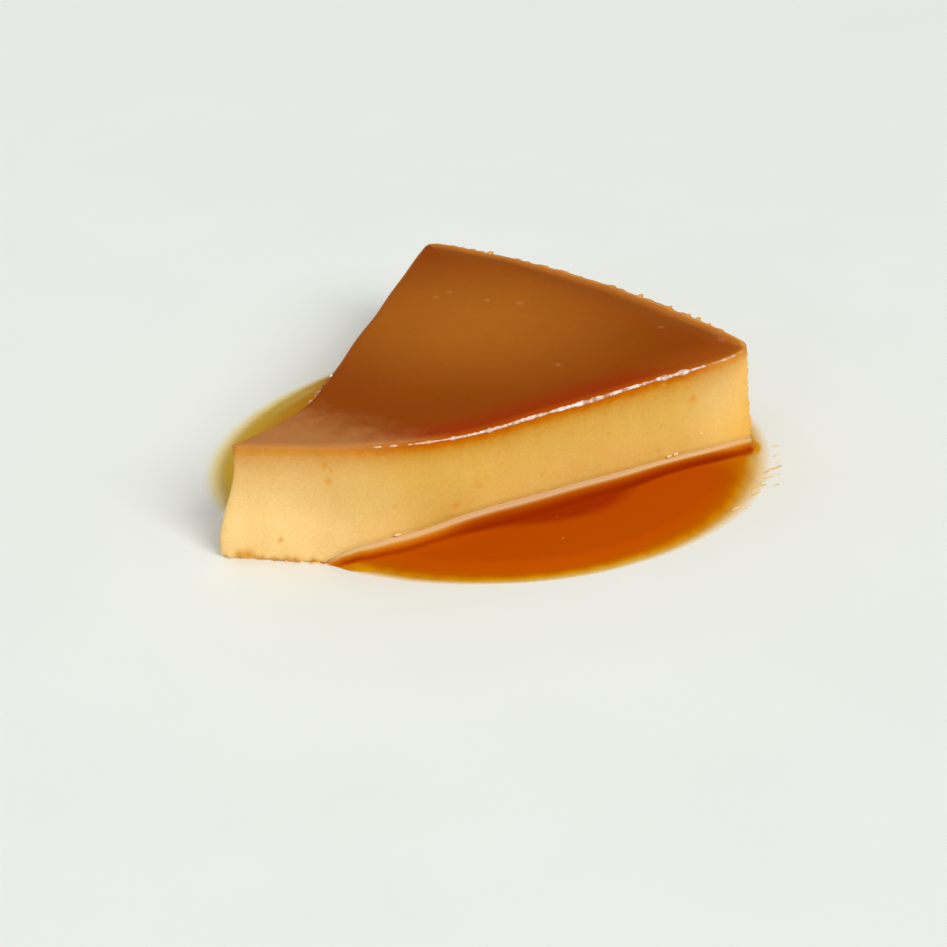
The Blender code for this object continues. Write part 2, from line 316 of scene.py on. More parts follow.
def on_front_cut(along, height):
    """The point of the front cut at a height and a place along X."""
    front = slice_outline([height])[0, TIP_STEPS // 2:FRONT_COLUMNS]
    return np.append(front[np.abs(front[:, 0] - along).argmin()], height)


def flan_relief(points, normals):
    """How far a side stands out: fine grain everywhere, pebbles on the pan's side, crumbs at the tip's
    foot, and a dent of exp(-(distance / radius)^2) at each pore."""
    height = points[..., 2]
    at_tip_foot = smooth_step((CRUMBLE_FROM_X - points[..., 0]) / CRUMBLE_GROWS_OVER)
    at_tip_foot = at_tip_foot * smooth_step(1.0 - height / CRUMBLE_RISES_TO)
    relief = GRAIN_HEIGHT * unevenness(points, GRAIN_SIZE, 1)
    below_rim = smooth_step((SLICE_HEIGHT - height - PEBBLES_BELOW_TOP) / PEBBLES_GROW_OVER)
    pebbles = np.minimum(np.abs(unevenness(points, PEBBLE_SIZE, 2)), PEBBLE_LIMIT)
    relief = relief + PEBBLE_HEIGHT * faces_pan(normals) * below_rim * pebbles
    relief = relief + CRUMBLE_HEIGHT * at_tip_foot * unevenness(points, CRUMBLE_SIZE, 3)
    for place, radius in zip(PORE_PLACES, PORE_RADII):
        relief = relief - PORE_DEPTH * radius * near_any(points, [place], [radius])
    return relief


def wetted_foot():
    """Where the syrup meets each column of the slice: its plan point at the lip's height, that height, and
    whether it is on the front cut. The climb ends at the rear bend and at the front corner."""
    heights = np.linspace(0.0, HIGHEST_LIP, 33)
    columns = slice_outline(heights, WETTING)
    foot = slice_outline([SPREAD_ENDS_AT])[0]
    on_front = faces_front(outward_normals(foot))
    climbed = (POOL_LEVEL + CLIMB_HEIGHT) * smooth_step((foot[:, 0] - CLIMB_FROM_X) / CLIMB_GROWS_OVER_X)
    climbed = climbed * smooth_step((foot[:, 1] - CLIMB_FROM_Y) / CLIMB_GROWS_OVER_Y)
    lip = climbed + (np.interp(foot[:, 0], *LIP_HEIGHTS.T) - climbed) * on_front
    place = np.clip(lip / heights[1], 0, len(heights) - 1.001)
    below = place.astype(int)
    every = np.arange(len(foot))
    share = (place - below)[:, None]
    plan = columns[below, every] * (1.0 - share) + columns[below + 1, every] * share
    return plan, lip, on_front > 0.5


def below_lip(points, lip, on_front, from_foot):
    """How far points lie below the lip's top as seen from the front, as a share of the way to the darkest
    line: the fall plus a part of the way out from the foot. It is 0 above the lip and off the front cut."""
    fall = lip - points[..., 2] + VIEWED_FALL * np.maximum(from_foot - WETTING, 0.0)
    return fall * (on_front & (points[..., 2] < lip)) / np.interp(points[..., 0], *PAINTED_SHADE_LINE.T)


wall_heights = np.linspace(0.0, LAYER_FLOOR, WALL_ROWS)
wall, wall_normals = with_normals(slice_outline(wall_heights), wall_heights)
chance = np.random.default_rng(4)
anywhere = wall[chance.integers(6, WALL_ROWS - 4, OTHER_PORES), chance.integers(0, wall.shape[1], OTHER_PORES)]
PORE_PLACES = np.vstack([[on_front_cut(along, height) for along, height, radius in FRONT_PORES], anywhere])
PORE_RADII = np.append([pore[2] for pore in FRONT_PORES], chance.uniform(0.00015, 0.00035, OTHER_PORES))
wet_foot, wet_height, wet_front = wetted_foot()
STAIN_PLACES = [on_front_cut(along, height) for along, height, radius in FOOT_STAINS]
custard = closed_bodies(
    "custard_body", (wall + wall_normals * flan_relief(wall, wall_normals)[..., None])[None],
    pore=near_any(wall, PORE_PLACES, PORE_TONE_REACH * PORE_RADII),
    over_lip=faces_front(wall_normals) * np.exp(
        -((wall[..., 2] - SHADE_BAND_OVER_LIP - np.interp(wall[..., 0], *LIP_HEIGHTS.T)) / SHADE_BAND_WIDTH) ** 2),
    stain=near_any(wall, STAIN_PLACES, [stain[2] for stain in FOOT_STAINS]),
    down=below_lip(wall, wet_height, wet_front, np.linalg.norm(wall[..., :2] - wet_foot, axis=-1)))


def linear(red, green, blue):
    """A colour given as it shows on screen, 0 to 255, as the amounts of light that a shader takes."""
    shown = np.array([red, green, blue]) / 255.0
    return (*np.where(shown <= 0.04045, shown / 12.92, ((shown + 0.055) / 1.055) ** 2.4), 1.0)


def add_node(tree, kind, settings=None, **inputs):
    """The outputs of a new shader node. Each input is a number, a colour or another node's output, under its
    socket's identifier with _ for each space."""
    made = tree.nodes.new("ShaderNode" + kind)
    for name, value in (settings or {}).items():
        setattr(made, name, value)
    for name, value in inputs.items():
        socket = next(each for each in made.inputs if each.identifier.replace(" ", "_") == name)
        if isinstance(value, bpy.types.NodeSocket):
            tree.links.new(value, socket)
        else:
            socket.default_value = value
    return made.outputs


def new_material(name, **uniform):
    """A material, its tree and the object's own coordinates. Uniform values go on its shader."""
    material = bpy.data.materials.new(name)
    material.use_nodes = True
    tree = material.node_tree
    for socket, value in uniform.items():
        tree.nodes["Principled BSDF"].inputs[socket.replace("_", " ")].default_value = value
    return material, tree, tree.nodes.new("ShaderNodeTexCoord").outputs["Object"]


def finished(material, colour, rough=None, strength=0.0):
    """The material with its colour and, where it has one, the bump of its rough grain."""
    tree = material.node_tree
    sockets = tree.nodes["Principled BSDF"].inputs
    tree.links.new(colour, sockets["Base Color"])
    if rough is not None:
        bump = add_node(tree, "Bump", Strength=strength, Distance=BUMP_HEIGHT, Height=rough)["Normal"]
        tree.links.new(bump, sockets["Normal"])
    return material


def value_of(tree, label):
    """The number that the mesh keeps for each point under a label."""
    return add_node(tree, "Attribute", {"attribute_name": label})["Fac"]


def speckle(place, size, low, high, **noise):
    """Noise of a size, in metres, as a number from low to high."""
    tree = place.id_data
    grain = add_node(tree, "TexNoise", Vector=place, Scale=1.0 / size, **noise)["Fac"]
    return add_node(tree, "MapRange", Value=grain, From_Min=0.3, From_Max=0.7, To_Min=low, To_Max=high)["Result"]


def math_of(tree, operation, first, second=0.0):
    """One sum of two numbers, such as ADD or MULTIPLY."""
    return add_node(tree, "Math", {"operation": operation}, Value=first, Value_001=second)["Value"]


def product(first, *others):
    """A node's number multiplied by others, one after another."""
    for each in others:
        first = math_of(first.id_data, "MULTIPLY", first, each)
    return first


def blend(share, first, second, kind="MIX"):
    """Two colours mixed by a share. Each is a node's output, three numbers for linear, or four as they are."""
    first, second = (
        linear(*each) if isinstance(each, tuple) and len(each) == 3 else each for each in (first, second))
    settings = {"data_type": "RGBA", "blend_type": kind}
    made = add_node(share.id_data, "Mix", settings, Factor_Float=share, A_Color=first, B_Color=second)
    return next(out for out in made if out.identifier == "Result_Color")


def tint(share, colour, *kept):
    """A colour dimmed by a share of the way to these kept parts of its red, green and blue."""
    return blend(share, colour, (*kept, 1.0), "MULTIPLY")


def fade(value, start, end):
    """0 at start and before it, 1 at end and past it, smooth between."""
    settings = {"interpolation_type": "SMOOTHSTEP"}
    return add_node(value.id_data, "MapRange", settings, Value=value, From_Min=start, From_Max=end)["Result"]


def ramp(value, *stops):
    """A colour that changes with a value from stop to stop. Each stop is a place and a colour as it shows."""
    tree, reach = value.id_data, stops[-1][0]
    made = tree.nodes.new("ShaderNodeValToRGB")
    tree.links.new(product(value, 1.0 / reach), made.inputs["Fac"])
    steps = made.color_ramp.elements
    while len(steps) < len(stops):
        steps.new(1.0)
    for step, (place, *colour) in zip(steps, stops):
        step.position, step.color = place / reach, linear(*colour)
    return made.outputs["Color"]


def under_lip(tree, colour, along):
    """A colour, and over it the syrup's lip on the front cut: a pale peach band near its top, which is a painted
    reflection with a painted highlight line, then amber that darkens further down to a painted dark line of
    shade, and less dark towards the lip's ends."""
    down = value_of(tree, "down")
    # Painted light on the lip: the pale peach band near its top is a painted reflection with a painted highlight
    # line at 0.26, and the darkest stops near 1.0 are painted shade.
    lip = ramp(
        down, (0.0, 214, 164, 100), (0.05, 215, 172, 118), (0.18, 217, 176, 125), (0.26, 224, 184, 136),
        (0.31, 212, 167, 112), (0.355, 200, 134, 66), (0.4, 191, 112, 32), (0.45, 183, 95, 10), (0.5, 176, 83, 0),
        (0.56, 170, 72, 0), (0.64, 164, 62, 0), (0.74, 156, 52, 0), (0.85, 151, 45, 0), (1.0, 148, 42, 0),
        (1.1, 156, 47, 0))
    at_end = ramp(
        down, (0.0, 214, 164, 100), (0.05, 216, 172, 118), (0.2, 220, 178, 124), (0.28, 224, 178, 118),
        (0.33, 217, 152, 74), (0.4, 208, 130, 42), (0.47, 203, 114, 22), (0.54, 196, 101, 8), (0.62, 187, 89, 1),
        (0.73, 170, 70, 0), (0.84, 160, 57, 0), (0.94, 168, 62, 0), (1.06, 186, 76, 0))
    ends = math_of(tree, "ADD", fade(along, -0.03, -0.04), fade(along, 0.026, 0.034))
    lip = blend(ends, lip, at_end)
    thin = product(fade(along, 0.0372, 0.0398), fade(down, 0.42, 0.62))
    lip = blend(thin, lip, (200, 114, 2))
    here = product(fade(along, 0.0428, 0.0405), fade(along, -0.0572, -0.0545))
    share = product(fade(down, 0.0, 0.03), fade(down, 1.25, 1.0))
    return blend(product(share, here), colour, lip)


def cut_custard_colour(tree, place):
    """Yellow custard, stained amber by the caramel from the top down, paler at the tip and by the pan's
    side, with faint mottling and drips, golden pores and a syrup-stained foot at the tip."""
    along, _, height = add_node(tree, "SeparateXYZ", Vector=place)
    depth = math_of(tree, "SUBTRACT", SLICE_HEIGHT, height)
    uneven = math_of(tree, "ADD", depth, speckle(place, 0.0022, -0.0003, 0.0003, Detail=2.0))
    in_middle = ramp(
        uneven, (0.0003, 186, 100, 26), (0.0009, 187, 99, 10), (0.0014, 195, 107, 1), (0.0018, 201, 117, 6),
        (0.0024, 206, 136, 26), (0.0034, 210, 157, 54), (0.0052, 218, 171, 77), (0.0086, 226, 184, 90),
        (0.014, 232, 191, 101))
    at_tip = ramp(
        uneven, (0.0003, 204, 138, 66), (0.0012, 213, 141, 56), (0.0017, 215, 150, 61),
        (0.0027, 220, 163, 85), (0.0042, 224, 175, 101), (0.0067, 233, 191, 118), (0.011, 242, 205, 133),
        (0.016, 254, 216, 147))
    ends = math_of(tree, "ADD", fade(along, -0.038, -0.055), fade(along, 0.018, 0.034))
    custard = blend(ends, in_middle, at_tip)
    by_pan = product(fade(along, 0.03, 0.044), fade(uneven, 0.0005, 0.005))
    custard = blend(by_pan, custard, (253, 194, 92))
    by_bend = product(fade(along, -0.06, -0.05), fade(along, -0.026, -0.038))
    by_bend = product(by_bend, fade(uneven, 0.003, 0.014))
    custard = tint(by_bend, custard, 0.86, 0.8, 0.68)
    low_right = product(fade(along, 0.016, 0.034), fade(uneven, 0.006, 0.018))
    custard = tint(low_right, custard, 0.92, 0.87, 0.56)
    streaks = add_node(tree, "VectorMath", {"operation": "MULTIPLY"}, Vector=place, Vector_001=(1.0, 1.0, 0.12))
    drips = speckle(streaks["Vector"], 0.003, 0.0, 0.5, Detail=1.0)
    custard = tint(drips, custard, 0.96, 0.93, 0.84)
    grain = speckle(place, 0.0005, 0.0, 1.0, Detail=3.0)
    custard = tint(grain, custard, 0.94, 0.9, 0.8)
    mottle = speckle(place, 0.0035, 0.0, 0.6)
    custard = tint(mottle, custard, 0.97, 0.95, 0.9)
    custard = blend(product(value_of(tree, "pore"), 0.8), custard, (224, 150, 40))
    # Painted shade: a faint darker line on the custard just above the syrup's lip.
    custard = tint(value_of(tree, "over_lip"), custard, 0.93, 0.86, 0.75)
    custard = blend(value_of(tree, "stain"), custard, (222, 156, 56))
    return under_lip(tree, custard, along)


def cut_custard():
    """The custard's finish: moist satin that light enters a little way, with a fine grain."""
    material, tree, place = new_material(
        "cut_custard", Roughness=0.45, Specular_IOR_Level=0.15, Subsurface_Weight=0.3, Subsurface_Scale=0.0018,
        Subsurface_Radius=(1.0, 0.7, 0.35))
    grain = speckle(place, 0.0005, 0.0, 1.0, Detail=4.0)
    return finished(material, cut_custard_colour(tree, place), grain, 0.2)


custard.data.materials.append(cut_custard())
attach(custard, "root")
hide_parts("custard")

# The caramel layer: the top of the flan, once the floor of the pan, where the custard soaked up the caramel.
# It is the same body as the custard. Its surface is smooth and satin, dark brown, paler in the middle,
# wet and red along the front cut, washed thin at the tip under a painted sheen, and rolls over to a rim at
# the pan's side that is painted light, a painted highlight.
TOP_EDGE_FALL = 0.0004
TOP_EDGE_WIDTH = 0.0011
EDGE_ROWS = 7
ROLL_ROWS = 8
TOP_ROWS, TOP_ROW_CROWDING = 56, 1.35
TOP_INNER_SHARE = 0.97
SPINE_START, SPINE_END = -0.058, 0.028
TOP_UNEVENNESS, TOP_UNEVENNESS_SIZE = 0.00006, 0.02
RAGGED_HEIGHT, RAGGED_SIZE, RAGGED_LIFT = 0.0005, 0.0026, 0.8
RAGGED_FROM_Y, RAGGED_GROWS_OVER = -0.0445, 0.004
RAGGED_RISE, RAGGED_REACH = 0.0018, 0.0011
PALE_MIDDLE = (0.02, 0.013, 0.025)
MARK_HEIGHT = 0.00005
# Small pale marks on the top, little bubbles whose paleness is partly their own tone and partly a painted
# highlight: place along X and Y, and radius
TOP_MARKS = (
    (0.0264, 0.0289, 0.0006), (0.0305, 0.0281, 0.0006), (0.0313, 0.0177, 0.0007), (0.0339, 0.0102, 0.0007),
    (0.0089, -0.0171, 0.0006), (0.0392, -0.0249, 0.0006), (0.0438, -0.0377, 0.0009), (0.0401, -0.0404, 0.0009),
)


def layer_rings():
    """Rings up the layer's side, in over its rounded edge, and on to the middle line of the top.

    Over the edge the height rises by the square root of the share of its width. On the top, each point
    goes straight to the middle line: to the same place along X, halfway between the two cuts.
    """
    edge = SLICE_HEIGHT - TOP_EDGE_FALL
    share = (np.arange(1, ROLL_ROWS + 1) / ROLL_ROWS) ** 2
    heights = np.append(np.linspace(LAYER_FLOOR, edge, EDGE_ROWS), edge + TOP_EDGE_FALL * np.sqrt(share))
    insets = np.append(np.zeros(EDGE_ROWS), TOP_EDGE_WIDTH * share)
    side, normals = with_normals(slice_outline(heights, insets), heights)
    last = side[-1]
    front, rear = last[:FRONT_COLUMNS], last[:-REAR_COLUMNS - 1:-1]
    goal = np.clip(last[:, 0], SPINE_START, SPINE_END)
    across = (np.interp(goal, front[:, 0], front[:, 1]) + np.interp(goal, rear[:, 0], rear[:, 1])) / 2
    middle = np.column_stack([goal, across, last[:, 2]])
    inward = TOP_INNER_SHARE * (np.arange(1, TOP_ROWS + 1) / TOP_ROWS) ** TOP_ROW_CROWDING
    top = last + (middle - last) * inward[:, None, None]
    on_top = np.concatenate([np.zeros(EDGE_ROWS), smooth_step(share * 1.4), np.ones(TOP_ROWS)])
    return np.concatenate([side, top]), normals, on_top


rings, side_normals, on_top = layer_rings()
rows_of_side = len(side_normals)
top_share = np.broadcast_to(on_top[:, None], rings.shape[:2])
from_edge = np.linalg.norm(rings - rings[EDGE_ROWS], axis=-1) * (np.arange(len(rings)) > EDGE_ROWS)[:, None]
marks = near_any(rings[..., :2], np.array(TOP_MARKS)[:, :2], np.array(TOP_MARKS)[:, 2])
rings[:rows_of_side] += side_normals * (
    flan_relief(rings[:rows_of_side], side_normals) * (1.0 - on_top[:rows_of_side, None]))[..., None]
facing, edge_ring = side_normals[-1], rings[EDGE_ROWS]
ragged = faces_pan(facing) * smooth_step((edge_ring[:, 1] - RAGGED_FROM_Y) / RAGGED_GROWS_OVER) * np.clip(
    unevenness(edge_ring, RAGGED_SIZE, 9) + 0.1, 0.0, 1.6) ** 0.8
near_rim = smooth_step((rings[..., 2] - LAYER_FLOOR) / RAGGED_RISE) * np.exp(-(from_edge / RAGGED_REACH) ** 2)
rings[..., :2] += (RAGGED_HEIGHT * ragged * near_rim)[..., None] * facing[:, :2]
rings[..., 2] += RAGGED_LIFT * RAGGED_HEIGHT * ragged * near_rim * top_share
rings[..., 2] += top_share * (
    TOP_UNEVENNESS * unevenness(rings, TOP_UNEVENNESS_SIZE, 5) + MARK_HEIGHT * marks)
caramel = closed_bodies(
    "caramel_top", rings[None], on_top=top_share, from_edge=from_edge, mark=marks,
    front=np.broadcast_to(smooth_step((-facing[:, 1] - 0.3) / 0.5), rings.shape[:2]),
    pan=np.broadcast_to(faces_pan(facing), rings.shape[:2]),
    pore=near_any(rings, PORE_PLACES, PORE_TONE_REACH * PORE_RADII) * (1.0 - top_share))


def soaked_caramel():
    """The top's satin brown over the cut custard's colours at its sides."""
    material, tree, place = new_material(
        "soaked_caramel", Roughness=0.45, Specular_IOR_Level=0.01, Subsurface_Weight=0.08, Subsurface_Scale=0.001)
    along = add_node(tree, "SeparateXYZ", Vector=place)["X"]
    from_edge, front, pan = (value_of(tree, label) for label in ("from_edge", "front", "pan"))
    from_middle = add_node(
        tree, "VectorMath", {"operation": "DISTANCE"}, Vector=place, Vector_001=PALE_MIDDLE)["Value"]
    brown = blend(fade(from_middle, 0.05, 0.004), (149, 68, 2), (180, 102, 22))
    band = product(pan, fade(from_edge, 0.013, 0.005))
    brown = blend(product(band, 0.8), brown, (152, 79, 19))
    band = product(front, fade(from_edge, 0.0125, 0.002))
    red = blend(fade(along, 0.01, 0.026), (161, 50, 0), (166, 78, 12))
    brown = blend(product(band, 0.9), brown, red)
    wet = product(front, fade(from_edge, 0.003, 0.0008))
    wet_red = blend(fade(along, 0.01, 0.03), (178, 72, 0), (172, 90, 18))
    brown = blend(wet, brown, wet_red)
    # Painted sheen: the top near the tip is painted paler and pinker, a sheen of light over caramel washed thin,
    # and its front edge there a painted highlight.
    washed_and_sheen = math_of(tree, "ADD", along, speckle(place, 0.004, -0.0025, 0.0025, Detail=3.0))
    at_tip = fade(washed_and_sheen, -0.032, -0.052)
    brown = blend(at_tip, brown, (187, 122, 66))
    lit_edge = product(front, at_tip, fade(from_edge, 0.0036, 0.0))
    brown = blend(lit_edge, brown, (208, 143, 76))
    # Painted highlight: the rolled rim at the pan's side is painted lighter where it catches the light, palest at
    # its very edge.
    rim = product(pan, fade(from_edge, 0.0055, 0.0008))
    brown = blend(rim, brown, (202, 120, 42))
    rim = product(pan, fade(from_edge, 0.0018, 0.0002))
    brown = blend(rim, brown, (246, 176, 84))
    brown = tint(speckle(place, 0.0006, 0.0, 0.6, Detail=3.0), brown, 0.9, 0.85, 0.8)
    brown = tint(speckle(place, 0.009, 0.0, 0.5), brown, 0.92, 0.94, 0.9)
    # The bubble marks are painted paler: partly their own tone, partly a painted highlight.
    brown = blend(product(value_of(tree, "mark"), 0.5), brown, (200, 138, 84))
    colour = blend(value_of(tree, "on_top"), cut_custard_colour(tree, place), brown)
    return finished(material, colour, speckle(place, 0.00045, 0.0, 1.0, Detail=4.0), 0.12)


caramel.data.materials.append(soaked_caramel())
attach(caramel, "root")
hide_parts("caramel_layer")

# The wet edge: syrup that the knife drew over the top's front edge, mixed with torn specks of custard. It
# stands along the edge as a thin lumpy bead, broken in places, and catches the light. Its pale specks are
# partly torn custard and partly painted glints. The rear edge is torn and wet in the same way, over a short
# stretch near the tip.
FRONT_BEAD = (
    (-0.056, 0.00004), (-0.045, 0.00007), (-0.04, 0.0001), (-0.033, 0.0002), (-0.026, 0.00028),
    (-0.015, 0.00034), (0.0, 0.00035), (0.012, 0.00029), (0.02, 0.00024), (0.025, 0.00013),
    (0.0415, 0.00008),
)
FRONT_CLUMPS = (
    (-0.0455, 0.0004), (-0.0432, 0.0005), (-0.0378, 0.0006), (-0.0335, 0.0005), (-0.0262, 0.0006),
    (0.0148, 0.0007), (0.0163, 0.001), (0.0204, 0.0007), (0.0215, 0.0008), (0.0262, 0.0004), (0.0318, 0.0005),
    (0.0346, 0.0004),
)
REAR_BEAD = (
    (-0.041, 0.00003), (-0.037, 0.00013), (-0.031, 0.0002), (-0.025, 0.00018), (-0.019, 0.00014),
    (-0.014, 0.00003),
)
REAR_CLUMPS = ((-0.0352, 0.0006), (-0.0316, 0.0007), (-0.0275, 0.0006), (-0.0222, 0.0006))
BEAD_STEP = 0.0001
BEAD_SIDES = 16
BEAD_DROP, BEAD_INSET = 0.00042, 0.0001
BEAD_TALLNESS, BEAD_ROUGHNESS = 1.15, 0.07
BEAD_END_LENGTH = 0.004
CLUMP_SWELL = 0.35
# The bead's lumps: height as a share of its radius, size and seed
BEAD_LUMPS = ((0.1, 0.0009, 8), (0.2, 0.0021, 6), (0.18, 0.0048, 7))


def wet_edge(name, edge, bead, clumps):
    """A round profile carried along the edge. Its radius follows the bead's list, times lumps, swells at the
    clumps, and falls to nothing at both ends."""
    places, radii = np.array(bead).T
    kept = edge[(edge[:, 0] > places[0]) & (edge[:, 0] < places[-1])]
    steps = np.append(0.0, np.linalg.norm(np.diff(kept, axis=0), axis=1).cumsum())
    along = np.linspace(0.0, steps[-1], int(steps[-1] / BEAD_STEP))
    line = np.stack([np.interp(along, steps, kept[:, k]) for k in (0, 1)], axis=1)
    run = np.gradient(line, axis=0)
    outward = unit(np.stack([run[:, 1], -run[:, 0]], axis=1))
    spot = np.column_stack([line, np.full(len(line), SLICE_HEIGHT - BEAD_DROP)])
    lumps = 1.0
    for height, size, seed in BEAD_LUMPS:
        lumps = lumps + height * unevenness(spot, size, seed)
    radius = np.interp(line[:, 0], places, radii) * np.clip(lumps, 0.2, None)
    for place, size in clumps:
        radius = radius + CLUMP_SWELL * size * np.exp(-((line[:, 0] - place) / size) ** 2)
    radius = radius * np.sqrt(np.clip(np.minimum(along, steps[-1] - along) / BEAD_END_LENGTH, 0.0, 1.0))
    around = np.linspace(0.0, 2 * math.pi, BEAD_SIDES, endpoint=False)
    rings = np.empty((len(line), BEAD_SIDES, 3))
    rings[..., :2] = line[:, None] + outward[:, None] * (np.cos(around) * radius[:, None])[..., None]
    rings[..., 2] = spot[:, None, 2] - BEAD_TALLNESS * np.sin(around) * radius[:, None]
    rings = rings + BEAD_ROUGHNESS * radius[:, None, None] * np.stack(
        [unevenness(rings, 0.0009, seed) for seed in (81, 82, 83)], axis=-1)
    return closed_bodies(name, rings[None])


def wet_caramel(name, least, dark, gloss):
    """Wet caramel, dark where it is clear and pale in specks, which are partly torn custard and partly painted
    glints.
    """
    material, tree, place = new_material(
        name, Roughness=0.16, Specular_IOR_Level=gloss, Coat_Weight=gloss, Coat_Roughness=0.06)
    along = add_node(tree, "SeparateXYZ", Vector=place)["X"]
    # Pale specks: partly torn custard, partly painted glints of wet highlight.
    speck_and_glint = speckle(place, 0.0014, least, 1.2, Detail=3.0)
    amber = blend(speck_and_glint, dark, (246, 232, 218))
    off_middle = math_of(tree, "ADD", fade(along, -0.026, -0.04), fade(along, 0.024, 0.032))
    amber = blend(product(off_middle, 0.8), amber, (222, 164, 106))
    return finished(material, amber, speckle(place, 0.0006, 0.0, 1.0, Detail=1.0), 0.35)


top_edge = slice_outline([SLICE_HEIGHT - TOP_EDGE_FALL], BEAD_INSET)[0]
for name, edge, bead, clumps, look in (
    ("front_wet_edge", top_edge[:FRONT_COLUMNS], FRONT_BEAD, FRONT_CLUMPS,
     wet_caramel("wet_caramel", -0.35, (190, 130, 96), 0.7)),
    ("rear_wet_edge", top_edge[-REAR_COLUMNS:], REAR_BEAD, REAR_CLUMPS,
     wet_caramel("dark_wet_caramel", -1.0, (112, 52, 16), 0.15)),
):
    wet = wet_edge(name, edge, bead, clumps)
    wet.data.materials.append(look)
    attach(wet, "root")

# The syrup: caramel that ran off the flan when it was turned out, a clear amber pool round the slice's
# foot. It is deep and brown against the slice, with a painted shadow of the slice by the front cut and
# painted olive shade behind it, wets its foot and climbs it, and thins to gold at the shore.
POOL_CENTRE = np.array([0.0055, 0.0])
POOL_RADIUS = 0.0608
SHORE_WAVES = ((2, 0.00055, 0.33), (3, 0.00034, -1.08), (4, 0.00087, 2.55))
SHORE_CLINGS = (
    (math.radians(46.0), 0.0165, math.radians(9.0)),
    (math.radians(-179.0), 0.0015, math.radians(5.0)),
)
SHORE_THICKNESS = 0.00003
SHORE_WIDTH = 0.0055
FLAT_SHORE_WIDTH = 0.01
BEHIND_FROM_DEGREES, BEHIND_GROWS_OVER = 65.0, 25.0
# The painted shadow of the slice on the syrup: its middle along X, its half width, and how far it reaches out
# from the foot
SHADOW_LOBE_X, SHADOW_LOBE_HALF_WIDTH, SHADOW_LOBE_REACH = -0.01, 0.0125, 0.0098
JUST_BELOW = 0.00001
CLIMB_REACH = 0.0014
LIP_REACH = 0.00042
END_WIDTH = 0.0001
POOL_ROWS = 96
ROW_CROWDING = 2.0
SHORE_SAMPLES = 1441
LEAST_TURN = math.radians(0.01)

# The thin film at the shore, by bearing about the pool's centre in degrees: how far it runs out past the
# shore, and how wide it is see-through
FILM = np.array((
    (-180.0, 0.0, 0.0012), (-176.0, 0.0, 0.0012), (-170.0, 0.0019, 0.0026), (-160.0, 0.0022, 0.0027),
    (-145.0, 0.001, 0.0017), (-130.0, 0.0007, 0.0016), (-115.0, 0.001, 0.002), (-100.0, 0.0024, 0.0031),
    (-85.0, 0.0037, 0.0044), (-70.0, 0.004, 0.0059), (-60.0, 0.0032, 0.0062), (-50.0, 0.0028, 0.0048),
    (-40.0, 0.0024, 0.0046), (-20.0, 0.0014, 0.004), (0.0, 0.001, 0.004), (80.0, 0.001, 0.004),
    (100.0, 0.0022, 0.0055), (140.0, 0.0024, 0.006), (150.0, 0.0018, 0.0048), (165.0, 0.001, 0.003),
    (180.0, 0.0, 0.0012),
))


def distance_to_path(points, path):
    """The shortest distance from each point to a path of straight steps, taken step by step."""
    nearest = np.full(len(points), np.inf)
    for start, end in zip(path[:-1], path[1:]):
        step = end - start
        share = np.clip((points - start) @ step / (step @ step), 0.0, 1.0)
        nearest = np.minimum(nearest, np.linalg.norm(points - start - share[:, None] * step, axis=1))
    return nearest


def film_at(bearing, column):
    """A column of the film's list, read off at each bearing."""
    return np.interp(np.degrees(bearing), FILM[:, 0], FILM[:, column], period=360.0)


def shore_radius(bearing):
    """How far the film's rim lies from the pool's centre: a circle, the film, slow cosine waves, and a bell
    at each cling."""
    radius = POOL_RADIUS + film_at(bearing, 1)
    for count, height, phase in SHORE_WAVES:
        radius = radius + height * np.cos(count * bearing + phase)
    for corner_bearing, distance, spread in SHORE_CLINGS:
        turn = np.angle(np.exp(1j * (bearing - corner_bearing)))
        radius = radius + distance * np.exp(-0.5 * (turn / spread) ** 2)
    return radius


